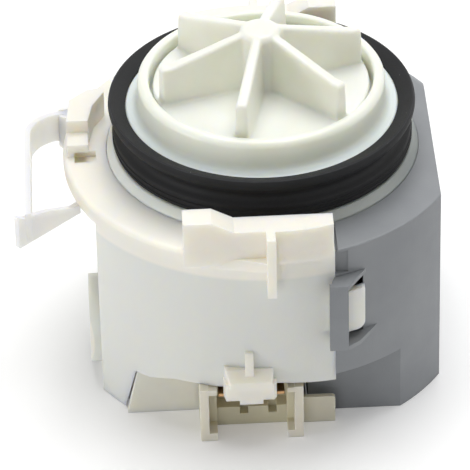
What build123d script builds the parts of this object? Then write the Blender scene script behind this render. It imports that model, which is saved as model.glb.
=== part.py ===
from build123d import *
from math import cos, radians, sin
import os

# Dishwasher drain pump: a wet rotor synchronous motor in a two-part snapped casing, with an open
# impeller on top. Millimetres. The origin is on the pump axis at the base plane, +Z points along
# the axis to the impeller, +X to the grey casing half and -Y to the connector.

# Casing halves
body_r = 43.3
side_flat_x = 36.85
wall = 2.0
casing_top_z = 48.0
flange_z = 43.2
opening_r = 33.9
split_front_x = 12.95
split_back_x = 19.0
top_edge_round = 1.2
grey_edge_round = 0.35
grey_back_round = 2.5
seam_slot = 0.6
seam_slot_z = 46.8
seam_flat_x = 2.8
seam_flat_y = -39.9
seam_flat_z = (41.8, 47.3)
joint_gap = 0.3
tall = 60.0

# Lower front of the casing, where the walls stop short of the floor
window_edge = [
    (-32.1, 0.0),
    (-29.6, 11.3),
    (-26.7, 11.5),
    (-21.4, 13.4),
    (-16.5, 13.8),
    (-12.5, 13.8),
    (-1.0, 15.4),
    (1.0, 15.4),
    (12.95, 14.1),
]
recess_y = -33.5
recess_z = 15.6
grey_lower_x = 7.4

# Bayonet lugs, the front one, which a half turn about the axis gives again at the back
lug_x = (-18.7, 12.7)
lug_y = (-43.6, -38.0)
lug_front_r = 43.9
lug_z = (47.1, 55.4)
lug_tall_x = -12.7
lug_tall_z = 57.9
lug_ramp_x = -8.1
lug_rib_x = (-1.5, 0.4)
lug_rib_y = (-47.2, -42.0)
lug_rib_z = (40.7, 55.4)
lug_wedge_x = (-12.5, -8.2)
lug_wedge_z = (46.4, 48.7)
lug_wedge_y = -46.0
lug_wedge_root_y = (-43.55, -42.3)

# Latch block, bar and pocket on the left of the white top, and the boss on the left wall
latch_block = [
    (-42.3, 2.5),
    (-41.6, 10.6),
    (-37.6, 14.4),
    (-34.8, 15.0),
    (-33.9, 13.4),
    (-36.6, 8.2),
    (-37.6, 2.5),
]
latch_block_z = 54.0
latch_bar_x = (-42.3, -37.7)
latch_bar_y = (-2.5, 2.5)
latch_bar_z = 51.0
pocket_x = (-40.8, -36.2)
pocket_y = (-4.7, -0.4)
pocket_depth = 1.5
boss_r = 9.7
boss_y = -11.0
boss_z = 11.0
boss_out = 2.35
boss_round = 1.9

# Latch lever
lever_pivot = (-42.2, 15.0)
lever_pin_r = 1.05
lever_pin_gap = 0.05
lever_socket_r = 2.1
lever_socket_floor = 1.1
lever_socket_mouth = 1.9
lever_z = (41.0, 48.0)
lever_arm_z = 40.0
lever_t = 1.35
lever_bend_r = 8.0
lever_straight_x = -50.97
lever_front_y = -23.0
lever_tab_end = (-53.52, -23.9)
lever_inner_end = (-40.4, -11.7)
lever_arm_top = [(0.0, 48.0), (2.2, 46.7), (4.2, 46.5), (9.0, 45.1), (15.8, 42.4)]

# Snap straps and tongues that hold the halves together
strap_plate_x = (-1.4, 2.55)
strap_plate_t = 1.2
strap_z = (24.5, 41.2)
strap_arm_t = 1.0
strap_arm_far = (10.0, 7.3)
strap_foot = (2.6, 2.0)
strap_root_depth = 0.6
strap_clear = 0.05
tongue_x = (-1.3, 6.35)
tongue_z = (27.3, 37.8)
tongue_r = (43.4, 45.0)
tongue_root_depth = 0.4
tongue_round = (1.8, 0.7)

# Nose over the connector, on the white wall
nose_root_y = -41.6
nose_plan = [
    (-11.0, nose_root_y),
    (-10.7, -43.4),
    (-9.8, -46.1),
    (-0.9, -46.1),
    (-0.5, -43.4),
    (-0.5, nose_root_y),
]
nose_z = (15.9, 19.6)
nose_ramp = [(-43.7, 19.6), (-46.1, 17.8)]
nose_plate = [
    (-11.2, nose_root_y),
    (-11.2, -43.2),
    (-10.7, -45.2),
    (-0.5, -45.2),
    (0.1, -44.4),
    (0.1, nose_root_y),
]
nose_plate_z = (12.5, 16.7)
nose_tab_x = (-7.8, -2.8)
nose_tab_y = (-45.2, -43.0)
nose_tab_z = (11.4, 13.5)
nose_stem_x = (-6.5, -4.7)
nose_stem = [(nose_root_y, 17.0), (-45.0, 17.0), (-44.9, 19.5), (-43.6, 23.8), (nose_root_y, 23.8)]

# Connector frame
leg_left_x = (-16.3, -14.4, -12.6)
leg_right_x = (5.9, 4.0, 2.5)
leg_front_y = -42.8
rail_front_y = -38.5
rail_foot_z = 2.0
leg_top_z = 13.7
bar_z = (12.3, 13.5)
slab_y = (-37.4, -33.9)
slab_top_z = 4.8
back_wall_y = (-34.0, -32.4)
keyway_x = (-7.6, -1.45)
keyway_w = 1.8
keyway_deep = 2.4
keyway_drop = 1.9
side_block_x = 13.0
side_block_y = (-37.8, -36.6)
side_block_z = 6.8
side_block_round = 0.8
bar_y = (-42.8, -40.8)

# Terminals
tab_w = 4.8
tab_t = 0.8
tab_z = 11.4
tab_y = (-42.3, -29.8)
tab_left_x = -12.3
tab_right_x = -2.9
tab_chamfer = 0.25

# Pump cover and its seal
cover_floor_z = 60.5
collar_r = 26.65
collar_bore_r = 24.15
collar_top_z = 65.7
collar_round = 1.4
collar_bore_round = 0.5
collar_root_round = 1.2
upper_flange_r = 29.4
upper_flange_z = (57.2, 59.0)
upper_flange_round = 0.4
core_r = 27.5
lower_flange_r = 33.8
lower_flange_z = (47.0, 50.0)
lower_flange_slope = [(32.5, 50.0), (33.8, 48.3)]
lower_flange_round = 0.3
cover_inner_r = 25.5
recess_r = 10.2
recess_floor_z = (46.3, 48.0)
bearing_seat_r = 6.4
bearing_seat_z = 40.4
cover_shaft_r = 2.8
seal_foot = [(31.6, 50.0), (32.2, 50.6), (32.2, 53.4), (31.3, 54.3)]
seal_groove = (30.6, 55.2)
seal_lip_foot = [(31.0, 56.2), (32.95, 58.4)]
seal_lip_r = 33.15
seal_lip_top = [(32.9, 60.3), (32.3, 60.5), (29.4, 59.1)]

# Rotor can
can_r = 15.0
can_bore_r = 13.8
can_bottom_z = (2.6, 4.4)
can_round = 1.2
can_flange_r = 34.6
can_flange_z = (44.0, 46.0)
ring_groove_r = (27.1, 28.9)
ring_groove_z = 45.5
rear_seat_r = 6.2
rear_seat_wall = 1.6
rear_seat_z = 8.6

# Rotor, shaft and bearings
shaft_r = 2.0
shaft_z = (4.9, 69.5)
shaft_chamfer = 0.3
shaft_gap = 0.04
carrier_r = 6.0
rotor_r = 12.5
rotor_z = (10.6, 39.0)
rotor_end_t = 1.5
washer_r = 4.4
washer_t = 0.45
rear_bush_z = (4.9, 9.9)
front_bush_z = (39.8, 45.8)
bush_r = 4.0
rear_mount_z = (4.4, 9.2)
front_mount_z = (40.6, 46.3)

# Impeller and its drive
impeller_r = 23.3
impeller_z = (61.9, 63.9)
impeller_round = 0.3
hub_r = 4.5
hub_top_z = 77.6
hub_round = 1.5
hub_hole_over = 0.4
blade_t = (3.1, 2.1)
blade_x = (1.0, 22.7)
blade_tip_z = 72.5
blade_flat = 2.2
blade_hub_x = 3.3
blade_hub_drop = 0.3
blade_sink = 0.5
blade_profile_round = 0.9
blade_round = 0.5
blade_count = 6
blade_azimuth = -103.5
impeller_bore_gap = 0.05
drive_cup_r = (7.2, 9.2)
drive_cup_z = 49.5
stop_sink = 0.5
stop_inner_r = 4.4
stop_half_angle = 68.0
dog_hub_r = 3.9
dog_reach = 6.7
dog_w = 3.0
dog_z = (50.0, 58.0)

# Stator
core_z = (18.5, 36.5)
yoke_x = (-34.2, -27.2)
leg_y = (12.0, 20.0)
pole_x = (-12.0, 16.0)
pole_y = (9.0, 24.0)
pole_bore_r = 15.6
pole_round = 1.5
pole_overlap = 2.0
rivet_r = 1.4
rivet_head_r = 2.6
rivet_head_t = 1.1
rivet_spots = [(-30.7, 16.0), (-4.0, 20.6)]
bobbin_x = (-26.8, -15.5)
bobbin_wall = 1.2
bobbin_rim = 5.2
bobbin_round = 2.5
winding_build = 4.6
winding_corner_r = 3.0
tape_t = 0.3
wire_r = 0.7
bridge_route = [(-21.0, -16.0, 12.2), (-21.0, -16.0, 9.6), (-21.0, 16.0, 9.6), (-21.0, 16.0, 12.2)]
left_lead_route = [
    (-9.9, -29.8, 11.8),
    (-9.9, -28.0, 11.8),
    (-15.0, -28.0, 14.0),
    (-21.0, -28.0, 19.0),
    (-21.0, -28.0, 24.0),
]
right_lead_route = [
    (-0.5, -29.8, 11.8),
    (-0.5, -27.0, 11.8),
    (-8.0, -25.0, 6.0),
    (-17.0, -16.0, 6.0),
    (-24.0, 16.0, 6.0),
    (-24.0, 16.0, 12.2),
]
wire_bend_r = 1.5
cutout_x = (-25.0, -17.5)
cutout_y = (-29.6, -26.2)
cutout_z = (24.0, 33.0)
cutout_round = 0.9

# Base tray
tray_x = (-34.6, 7.1)
tray_r = 41.1
tray_floor_y = (-30.8, -32.3)
tray_step_x = -16.0
tray_floor_t = 2.0
tray_wall_x = (-31.8, -15.5)
tray_wall_y = (-31.6, -30.0)
tray_wall_top_z = 11.0
tray_slant = 2.4
yoke_post_x = (-33.5, -28.0)
yoke_post_y = (-8.0, 8.0)
pole_post_x = (0.5, 5.5)
pole_post_y = (17.5, 23.5)


def casing_plan(radius, left_x, right_x):
    """Round plan of the casing, cut straight at its left and right."""
    Circle(radius)
    with Locations(((left_x + right_x) / 2, 0)):
        Rectangle(right_x - left_x, 2 * radius, mode=Mode.INTERSECT)


def split_step(side):
    """Takes the strip between the front and back split lines off one side of the plan."""
    with Locations(((split_front_x + split_back_x) / 2, side * body_r / 2)):
        Rectangle(split_back_x - split_front_x, body_r, mode=Mode.SUBTRACT)


def block(x_limits, y_limits, z_limits, mode=Mode.ADD):
    """Box between two limits along each axis."""
    sizes = [abs(high - low) for low, high in (x_limits, y_limits, z_limits)]
    corner = (min(x_limits), min(y_limits), min(z_limits))
    with Locations(corner):
        Box(*sizes, align=(Align.MIN, Align.MIN, Align.MIN), mode=mode)


def ring(outer_r, inner_r, z_limits):
    """Adds a tube about the pump axis between two heights."""
    height = z_limits[1] - z_limits[0]
    upwards = (Align.CENTER, Align.CENTER, Align.MIN)
    with Locations((0, 0, z_limits[0])):
        Cylinder(outer_r, height, align=upwards)
        Cylinder(inner_r, height, align=upwards, mode=Mode.SUBTRACT)


def corner_near(builder, point):
    """The builder's corner that lies nearest to a point of its own plane."""
    return builder.vertices().sort_by_distance((point[0], point[1], 0))[0]


def save(builder, name):
    """Labels a finished piece and writes it."""
    builder.part.label = name
    export_step(builder.part, f"parts/{name}.step")


os.makedirs("parts", exist_ok=True)

# Nose on the white wall that the plug snaps under: a ramped block, a plate, a tab and a stem
with BuildPart() as nose:
    with BuildSketch(Plane.XY.offset(nose_z[0])):
        Polygon(*nose_plan)
    extrude(amount=nose_z[1] - nose_z[0])
    with BuildSketch(Plane.YZ.offset(nose_plan[0][0])):
        Polygon((nose_root_y, 0), (nose_root_y, nose_z[1]), *nose_ramp, (nose_ramp[-1][0], 0))
    extrude(amount=nose_plan[-1][0] - nose_plan[0][0], mode=Mode.INTERSECT)
    with BuildSketch(Plane.XY.offset(nose_plate_z[0])):
        Polygon(*nose_plate)
    extrude(amount=nose_plate_z[1] - nose_plate_z[0])
    block(nose_tab_x, nose_tab_y, nose_tab_z)
    with BuildSketch(Plane.YZ.offset(nose_stem_x[0])):
        Polygon(*nose_stem)
    extrude(amount=nose_stem_x[1] - nose_stem_x[0])

# White casing half: round wall, left flat and top, open towards the grey half
with BuildPart() as white_shell:
    with BuildSketch():
        casing_plan(body_r, -side_flat_x, split_back_x)
        split_step(-1)
    extrude(amount=casing_top_z)
    with BuildSketch(Plane.XY.offset(flange_z)):
        casing_plan(body_r, -body_r, split_back_x)
        split_step(-1)
    extrude(amount=casing_top_z - flange_z)
    top_arcs = white_shell.edges().filter_by(GeomType.CIRCLE).group_by(Axis.Z)[-1]
    fillet(top_arcs, top_edge_round)
    with BuildSketch():
        casing_plan(body_r - wall, wall - side_flat_x, body_r)
    extrude(amount=casing_top_z - wall, mode=Mode.SUBTRACT)
    with BuildSketch(Plane.XY.offset(casing_top_z)):
        Circle(opening_r)
    extrude(amount=-2 * wall, mode=Mode.SUBTRACT)
    # The wall over the connector stops short of the floor
    with BuildSketch(Plane.XZ):
        Polygon(*window_edge, (tall, window_edge[-1][1]), (tall, -1), (window_edge[0][0], -1))
    extrude(amount=tall, mode=Mode.SUBTRACT)
    # Bayonet lugs, at the front and turned to the back: a plate, its raised end, a rib and a wedge
    for turn in (0, 180):
        across = Vector(1, 0, 0).rotate(Axis.Z, turn)
        front = Plane(origin=(0, 0, 0), x_dir=across, z_dir=Vector(0, -1, 0).rotate(Axis.Z, turn))
        with BuildSketch(Plane(origin=(0, 0, lug_z[0]), x_dir=across, z_dir=(0, 0, 1))):
            with BuildLine():
                rib_corner = (lug_rib_x[0], -((lug_front_r**2 - lug_rib_x[0] ** 2) ** 0.5))
                end_corner = (lug_x[1], -((lug_front_r**2 - lug_x[1] ** 2) ** 0.5))
                RadiusArc(rib_corner, end_corner, -lug_front_r)
                Polyline(end_corner, (lug_x[1], lug_y[1]), (lug_x[0], lug_y[1]), (lug_x[0], lug_y[0]))
                Polyline((lug_x[0], lug_y[0]), (lug_rib_x[0], lug_y[0]), rib_corner)
            make_face()
        extrude(amount=lug_z[1] - lug_z[0])
        with BuildSketch(front.offset(-lug_y[1])):
            Polygon(
                (lug_x[0], lug_z[0]),
                (lug_x[0], lug_tall_z),
                (lug_tall_x, lug_tall_z),
                (lug_ramp_x, lug_z[1]),
                (lug_ramp_x, lug_z[0]),
            )
        extrude(amount=lug_y[1] - lug_y[0])
        with BuildSketch(front.offset(-lug_rib_y[1])):
            with Locations((lug_rib_x[0], lug_rib_z[0])):
                rib_size = (lug_rib_x[1] - lug_rib_x[0], lug_rib_z[1] - lug_rib_z[0])
                Rectangle(*rib_size, align=(Align.MIN, Align.MIN))
        extrude(amount=lug_rib_y[1] - lug_rib_y[0])
        for wedge_x, wedge_z in zip(lug_wedge_x, lug_wedge_z):
            with BuildSketch(Plane(origin=(0, 0, wedge_z), x_dir=across, z_dir=(0, 0, 1))):
                Polygon(
                    (wedge_x, lug_wedge_root_y[0]),
                    (lug_rib_x[0], lug_wedge_y),
                    (lug_rib_x[0], lug_wedge_root_y[1]),
                )
        loft(ruled=True)
    # Latch block, bar and pocket on the top
    with BuildSketch(Plane.XY.offset(casing_top_z - wall)):
        Polygon(*latch_block)
    extrude(amount=latch_block_z - casing_top_z + wall)
    block(latch_bar_x, latch_bar_y, (casing_top_z - wall, latch_bar_z))
    block(pocket_x, pocket_y, (casing_top_z - pocket_depth, casing_top_z + 1), Mode.SUBTRACT)
    # Round boss on the left wall
    with BuildSketch(Plane.YZ.offset(-side_flat_x)):
        with Locations((boss_y, boss_z)):
            Circle(boss_r)
    extrude(amount=-boss_out)
    fillet(white_shell.edges().filter_by(GeomType.CIRCLE).sort_by(Axis.X)[0], boss_round)
    add(nose.part)
    # Tongues that run out over the grey half
    for side, root_x in ((-1, split_front_x), (1, split_back_x)):
        with BuildSketch(Plane.XY.offset(tongue_z[0])):
            Circle(tongue_r[1])
            Circle(body_r - tongue_root_depth, mode=Mode.SUBTRACT)
            with Locations((root_x + sum(tongue_x) / 2, side * body_r)):
                Rectangle(tongue_x[1] - tongue_x[0], body_r, mode=Mode.INTERSECT)
        extrude(amount=tongue_z[1] - tongue_z[0])
        with BuildSketch(Plane.XY.offset(tongue_z[0])):
            Circle(tongue_r[0])
            with Locations((root_x + body_r / 2, side * body_r)):
                Rectangle(body_r, body_r, mode=Mode.INTERSECT)
        extrude(amount=tongue_z[1] - tongue_z[0], mode=Mode.SUBTRACT)
        end_x = root_x + tongue_x[1]
        end_y = side * ((sum(tongue_r) / 2) ** 2 - end_x**2) ** 0.5
        for corner_z, corner_round in zip(tongue_z, tongue_round):
            corner = white_shell.edges().sort_by_distance((end_x, end_y, corner_z))[0]
            fillet(corner, corner_round)
    # Open socket at the latch lever's root
    socket_floor_z = lever_z[0] - joint_gap
    with BuildSketch(Plane.XY.offset(socket_floor_z - lever_socket_floor)):
        with Locations(lever_pivot):
            Circle(lever_socket_r)
        with Locations((lever_pivot[0] + lever_socket_r / 2, lever_pivot[1])):
            Rectangle(lever_socket_r, 2 * lever_socket_r)
    extrude(amount=casing_top_z - socket_floor_z + lever_socket_floor)
    with BuildSketch(Plane.XY.offset(socket_floor_z)):
        with Locations(lever_pivot):
            Circle(lever_pin_r + lever_pin_gap)
        with Locations((lever_pivot[0] - lever_socket_r, lever_pivot[1])):
            Rectangle(2 * lever_socket_r, lever_socket_mouth)
    extrude(amount=casing_top_z, mode=Mode.SUBTRACT)
save(white_shell, "white_shell")

# Grey casing half: round wall, right flat, top and floor, cut back at its lower front
with BuildPart() as grey_shell:
    with BuildSketch():
        casing_plan(body_r, split_front_x, side_flat_x)
        split_step(1)
    extrude(amount=casing_top_z)
    for turn_from, edge_round in ((-1, grey_back_round), (0, grey_edge_round)):
        top_arcs = grey_shell.edges().filter_by(GeomType.CIRCLE).group_by(Axis.Z)[-1]
        fillet(top_arcs.sort_by(Axis.Y)[turn_from], edge_round)
    block((split_front_x, tall), (-tall, recess_y), (0, recess_z), Mode.SUBTRACT)
    recess_wall_z = window_edge[-1][1] - joint_gap
    block((grey_lower_x, split_front_x), (recess_y, recess_y + wall), (0, recess_wall_z))
    with BuildSketch(Plane.XY.offset(recess_z + wall)):
        casing_plan(body_r - wall, 0, side_flat_x - wall)
    extrude(amount=casing_top_z - recess_z - 2 * wall, mode=Mode.SUBTRACT)
    with BuildSketch(Plane.XY.offset(wall)):
        casing_plan(body_r - wall, 0, side_flat_x - wall)
        with Locations((0, recess_y + wall)):
            Rectangle(tall, tall, align=(Align.MIN, Align.MIN), mode=Mode.INTERSECT)
    extrude(amount=recess_z, mode=Mode.SUBTRACT)
    with BuildSketch(Plane.XY.offset(casing_top_z)):
        Circle(opening_r)
    extrude(amount=-2 * wall, mode=Mode.SUBTRACT)
    with BuildSketch():
        Circle(tray_r)
        with Locations((grey_lower_x, recess_y + wall)):
            floor_size = (split_back_x - grey_lower_x + 1, 2 * tall)
            Rectangle(*floor_size, align=(Align.MIN, Align.MIN), mode=Mode.INTERSECT)
    extrude(amount=wall)
    # Slot beside each lug, and a flat under the front one
    block((split_front_x, split_front_x + seam_slot), (-tall, -core_r), (seam_slot_z, tall), Mode.SUBTRACT)
    block((split_back_x, split_back_x + seam_slot), (core_r, tall), (seam_slot_z, tall), Mode.SUBTRACT)
    block((split_front_x, split_front_x + seam_flat_x), (-tall, seam_flat_y), seam_flat_z, Mode.SUBTRACT)
    # Snap straps: a plate over the tongue, and an arm from each of its ends back to the wall
    for side, root_x in ((-1, split_front_x), (1, split_back_x)):
        tongue_y = (tongue_r[1] ** 2 - (root_x + tongue_x[0]) ** 2) ** 0.5
        plate_x = (root_x + strap_plate_x[0], root_x + strap_plate_x[1])
        plate_in = tongue_y + joint_gap
        plate_out = plate_in + strap_plate_t
        block(plate_x, (side * plate_in, side * plate_out), strap_z)
        root_r = body_r - strap_root_depth
        near_y = (root_r**2 - root_x**2) ** 0.5
        foot = (plate_x[1] + strap_foot[0], side * (plate_out - strap_foot[1]))
        arm_low_z = (strap_z[0], strap_z[1] - strap_arm_t)
        for arm_z, far, bends in zip(arm_low_z, strap_arm_far, ([foot], [])):
            far_x = root_x + far
            with BuildSketch(Plane.XY.offset(arm_z)):
                Polygon(
                    (root_x, side * near_y),
                    (plate_x[0], side * plate_out),
                    (plate_x[1], side * plate_out),
                    *bends,
                    (far_x, side * (root_r**2 - far_x**2) ** 0.5),
                )
            extrude(amount=strap_arm_t)
        with BuildSketch(Plane.XY.offset(strap_z[0])):
            Circle(body_r + strap_clear)
            with Locations((root_x - tall / 2, 0)):
                Rectangle(tall, 2 * tall, mode=Mode.INTERSECT)
        extrude(amount=strap_z[1] - strap_z[0], mode=Mode.SUBTRACT)
save(grey_shell, "grey_shell")

# Latch lever: a band that bends round from its pin to a slanted arm with the finger tab
with BuildPart() as latch_lever:
    bend_centre = (lever_straight_x + lever_bend_r, lever_pivot[1] - lever_bend_r)
    with BuildSketch(Plane.XY.offset(lever_z[0])):
        with BuildLine():
            Line(lever_pivot, (bend_centre[0], lever_pivot[1]))
            CenterArc(bend_centre, lever_bend_r, 90, 90)
            Line((lever_straight_x, bend_centre[1]), (lever_straight_x, lever_front_y))
        trace(line_width=lever_t)
        with Locations(lever_pivot):
            Circle(lever_pin_r)
    extrude(amount=lever_z[1] - lever_z[0])
    arm_run = Vector(*lever_inner_end) - Vector(*lever_tab_end)
    arm_plane = Plane(
        origin=(*lever_tab_end, 0),
        x_dir=(arm_run.X, arm_run.Y, 0),
        z_dir=(arm_run.Y, -arm_run.X, 0),
    )
    with BuildSketch(arm_plane):
        arm_end = [(arm_run.length, lever_arm_top[-1][1]), (arm_run.length, lever_arm_z)]
        Polygon((0, lever_arm_z), *lever_arm_top, *arm_end)
    extrude(amount=lever_t / 2, both=True)
save(latch_lever, "latch_lever")

# Connector housing: two legs with inner rails and bars, a slab with keyways, a back wall
with BuildPart() as connector_housing:
    block((leg_left_x[0], leg_right_x[0]), back_wall_y, (0, leg_top_z))
    for outer_x, mid_x, inner_x in (leg_left_x, leg_right_x):
        block((outer_x, mid_x), (leg_front_y, back_wall_y[0]), (0, leg_top_z))
        block((mid_x, inner_x), (rail_front_y, back_wall_y[0]), (0, bar_z[0]))
        block((mid_x, inner_x), bar_y, bar_z)
        block((mid_x, inner_x), (leg_front_y, rail_front_y), (0, rail_foot_z))
    block((leg_left_x[2], leg_right_x[2]), slab_y, (0, slab_top_z))
    for key_x in keyway_x:
        block(
            (key_x, key_x + keyway_w),
            (slab_y[0], slab_y[0] + keyway_deep),
            (slab_top_z - keyway_drop, slab_top_z),
            Mode.SUBTRACT,
        )
    block((leg_right_x[0], side_block_x), side_block_y, (0, side_block_z))
    top_corner = (side_block_x, side_block_y[0], side_block_z)
    fillet(connector_housing.edges().filter_by(Axis.Y).sort_by_distance(top_corner)[0], side_block_round)
    for tab_x in (tab_left_x, tab_right_x):
        block((tab_x, tab_x + tab_w), back_wall_y, (tab_z, tab_z + tab_t), Mode.SUBTRACT)
save(connector_housing, "connector_housing")

# Terminals: flat tabs with a chamfered tip
for name, tab_x in (("terminal_left", tab_left_x), ("terminal_right", tab_right_x)):
    with BuildPart() as terminal:
        block((tab_x, tab_x + tab_w), tab_y, (tab_z, tab_z + tab_t))
        tip = terminal.faces().sort_by(Axis.Y)[0]
        chamfer(tip.edges(), tab_chamfer)
    save(terminal, name)

# Base tray: floor, front wall with a slanted end, and the posts that carry the core
with BuildPart() as coil_cradle:
    with BuildSketch(Plane.XZ.offset(-tray_wall_y[1])):
        Polygon(
            (tray_wall_x[0], 0),
            (tray_wall_x[1], 0),
            (tray_wall_x[1], tray_wall_top_z),
            (tray_wall_x[0] + tray_slant, tray_wall_top_z),
        )
    extrude(amount=tray_wall_y[1] - tray_wall_y[0])
    with BuildSketch():
        Circle(tray_r)
        with BuildSketch(mode=Mode.INTERSECT):
            Polygon(
                (tray_x[0], tray_r),
                (tray_x[0], tray_floor_y[0]),
                (tray_step_x, tray_floor_y[0]),
                (tray_step_x, tray_floor_y[1]),
                (tray_x[1], tray_floor_y[1]),
                (tray_x[1], tray_r),
            )
    extrude(amount=tray_floor_t)
    block(yoke_post_x, yoke_post_y, (0, core_z[0]))
    for side in (-1, 1):
        block(pole_post_x, (side * pole_post_y[0], side * pole_post_y[1]), (0, core_z[0]))
save(coil_cradle, "coil_cradle")

# Pump cover: collar, two flanges, drive recess and bearing seat, turned about the axis
with BuildPart() as pump_cover:
    with BuildSketch(Plane.XZ) as cover_half:
        Polygon(
            (cover_shaft_r, recess_floor_z[1]),
            (recess_r, recess_floor_z[1]),
            (recess_r, cover_floor_z),
            (collar_bore_r, cover_floor_z),
            (collar_bore_r, collar_top_z),
            (collar_r, collar_top_z),
            (collar_r, upper_flange_z[1]),
            (upper_flange_r, upper_flange_z[1]),
            (upper_flange_r, upper_flange_z[0]),
            (core_r, upper_flange_z[0]),
            (core_r, lower_flange_z[1]),
            *lower_flange_slope,
            (lower_flange_r, lower_flange_z[0]),
            (cover_inner_r, lower_flange_z[0]),
            (cover_inner_r, cover_floor_z - wall),
            (recess_r + wall, cover_floor_z - wall),
            (recess_r + wall, recess_floor_z[0]),
            (bearing_seat_r + wall, recess_floor_z[0]),
            (bearing_seat_r + wall, bearing_seat_z),
            (bearing_seat_r, bearing_seat_z),
            (bearing_seat_r, recess_floor_z[0]),
            (cover_shaft_r, recess_floor_z[0]),
        )
        fillet(corner_near(cover_half, (collar_r, collar_top_z)), collar_round)
        fillet(corner_near(cover_half, (collar_bore_r, collar_top_z)), collar_bore_round)
        fillet(corner_near(cover_half, (collar_r, upper_flange_z[1])), collar_root_round)
        fillet(corner_near(cover_half, (upper_flange_r, upper_flange_z[1])), upper_flange_round)
        fillet(corner_near(cover_half, lower_flange_slope[0]), lower_flange_round)
    revolve(axis=Axis.Z)
save(pump_cover, "pump_cover")

# Cover seal: a grooved body with a wide lip that rises outwards
with BuildPart() as cover_seal:
    with BuildSketch(Plane.XZ):
        with BuildLine():
            Polyline((core_r, upper_flange_z[0]), (core_r, lower_flange_z[1]), *seal_foot)
            ThreePointArc(seal_foot[-1], seal_groove, seal_lip_foot[0])
            Line(*seal_lip_foot)
            lip_mid_z = (seal_lip_foot[-1][1] + seal_lip_top[0][1]) / 2
            ThreePointArc(seal_lip_foot[-1], (seal_lip_r, lip_mid_z), seal_lip_top[0])
            Polyline(*seal_lip_top, (upper_flange_r, upper_flange_z[0]), (core_r, upper_flange_z[0]))
        make_face()
    revolve(axis=Axis.Z)
save(cover_seal, "cover_seal")

# Rotor can: a closed cup with a rear bearing seat and a clamped flange with a ring groove
with BuildPart() as rotor_can:
    with BuildSketch(Plane.XZ) as can_half:
        Polygon(
            (0, can_bottom_z[0]),
            (can_r, can_bottom_z[0]),
            (can_r, can_flange_z[0]),
            (can_flange_r, can_flange_z[0]),
            (can_flange_r, can_flange_z[1]),
            (lower_flange_r, can_flange_z[1]),
            (lower_flange_r, lower_flange_z[0]),
            (ring_groove_r[1], lower_flange_z[0]),
            (ring_groove_r[1], ring_groove_z),
            (ring_groove_r[0], ring_groove_z),
            (ring_groove_r[0], lower_flange_z[0]),
            (can_bore_r, lower_flange_z[0]),
            (can_bore_r, can_bottom_z[1]),
            (rear_seat_r + rear_seat_wall, can_bottom_z[1]),
            (rear_seat_r + rear_seat_wall, rear_seat_z),
            (rear_seat_r, rear_seat_z),
            (rear_seat_r, can_bottom_z[1]),
            (0, can_bottom_z[1]),
        )
        fillet(corner_near(can_half, (can_r, can_bottom_z[0])), can_round)
    revolve(axis=Axis.Z)
save(rotor_can, "rotor_can")

# Sealing ring between the can and the cover
with BuildPart() as can_o_ring:
    with BuildSketch(Plane.XZ):
        with Locations((sum(ring_groove_r) / 2, (ring_groove_z + lower_flange_z[0]) / 2)):
            Circle((lower_flange_z[0] - ring_groove_z) / 2)
    revolve(axis=Axis.Z)
save(can_o_ring, "can_o_ring")

# Rotor: shaft, plastic carrier, magnet and thrust washers
with BuildPart() as rotor_shaft:
    with BuildSketch(Plane.XY.offset(shaft_z[0])):
        Circle(shaft_r)
    extrude(amount=shaft_z[1] - shaft_z[0])
    chamfer(rotor_shaft.edges().filter_by(GeomType.CIRCLE), shaft_chamfer)
save(rotor_shaft, "rotor_shaft")

with BuildPart() as rotor_carrier:
    ring(carrier_r, shaft_r, rotor_z)
    ring(rotor_r, shaft_r, (rotor_z[0], rotor_z[0] + rotor_end_t))
    ring(rotor_r, shaft_r, (rotor_z[1] - rotor_end_t, rotor_z[1]))
save(rotor_carrier, "rotor_carrier")

with BuildPart() as rotor_magnet:
    ring(rotor_r, carrier_r, (rotor_z[0] + rotor_end_t, rotor_z[1] - rotor_end_t))
save(rotor_magnet, "rotor_magnet")

with BuildPart() as thrust_washers:
    ring(washer_r, shaft_r, (rotor_z[0] - washer_t, rotor_z[0]))
    ring(washer_r, shaft_r, (rotor_z[1], rotor_z[1] + washer_t))
save(thrust_washers, "thrust_washers")

# Bearings: a hard bush in a soft mount at each end of the shaft
with BuildPart() as rear_bearing_bush:
    ring(bush_r, shaft_r + shaft_gap, rear_bush_z)
save(rear_bearing_bush, "rear_bearing_bush")

with BuildPart() as rear_bearing_mount:
    ring(rear_seat_r, bush_r, rear_mount_z)
save(rear_bearing_mount, "rear_bearing_mount")

with BuildPart() as front_bearing_bush:
    ring(bush_r, shaft_r + shaft_gap, front_bush_z)
save(front_bearing_bush, "front_bearing_bush")

with BuildPart() as front_bearing_mount:
    ring(bearing_seat_r, bush_r, front_mount_z)
save(front_bearing_mount, "front_bearing_mount")

# Drive dog: fixed on the shaft, its tooth strikes the stop inside the impeller
with BuildPart() as drive_dog:
    with BuildSketch(Plane.XY.offset(dog_z[0])):
        Circle(dog_hub_r)
        with Locations((dog_reach / 2, 0)):
            Rectangle(dog_reach, dog_w)
        Circle(shaft_r, mode=Mode.SUBTRACT)
    extrude(amount=dog_z[1] - dog_z[0])
save(drive_dog, "drive_dog")

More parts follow.
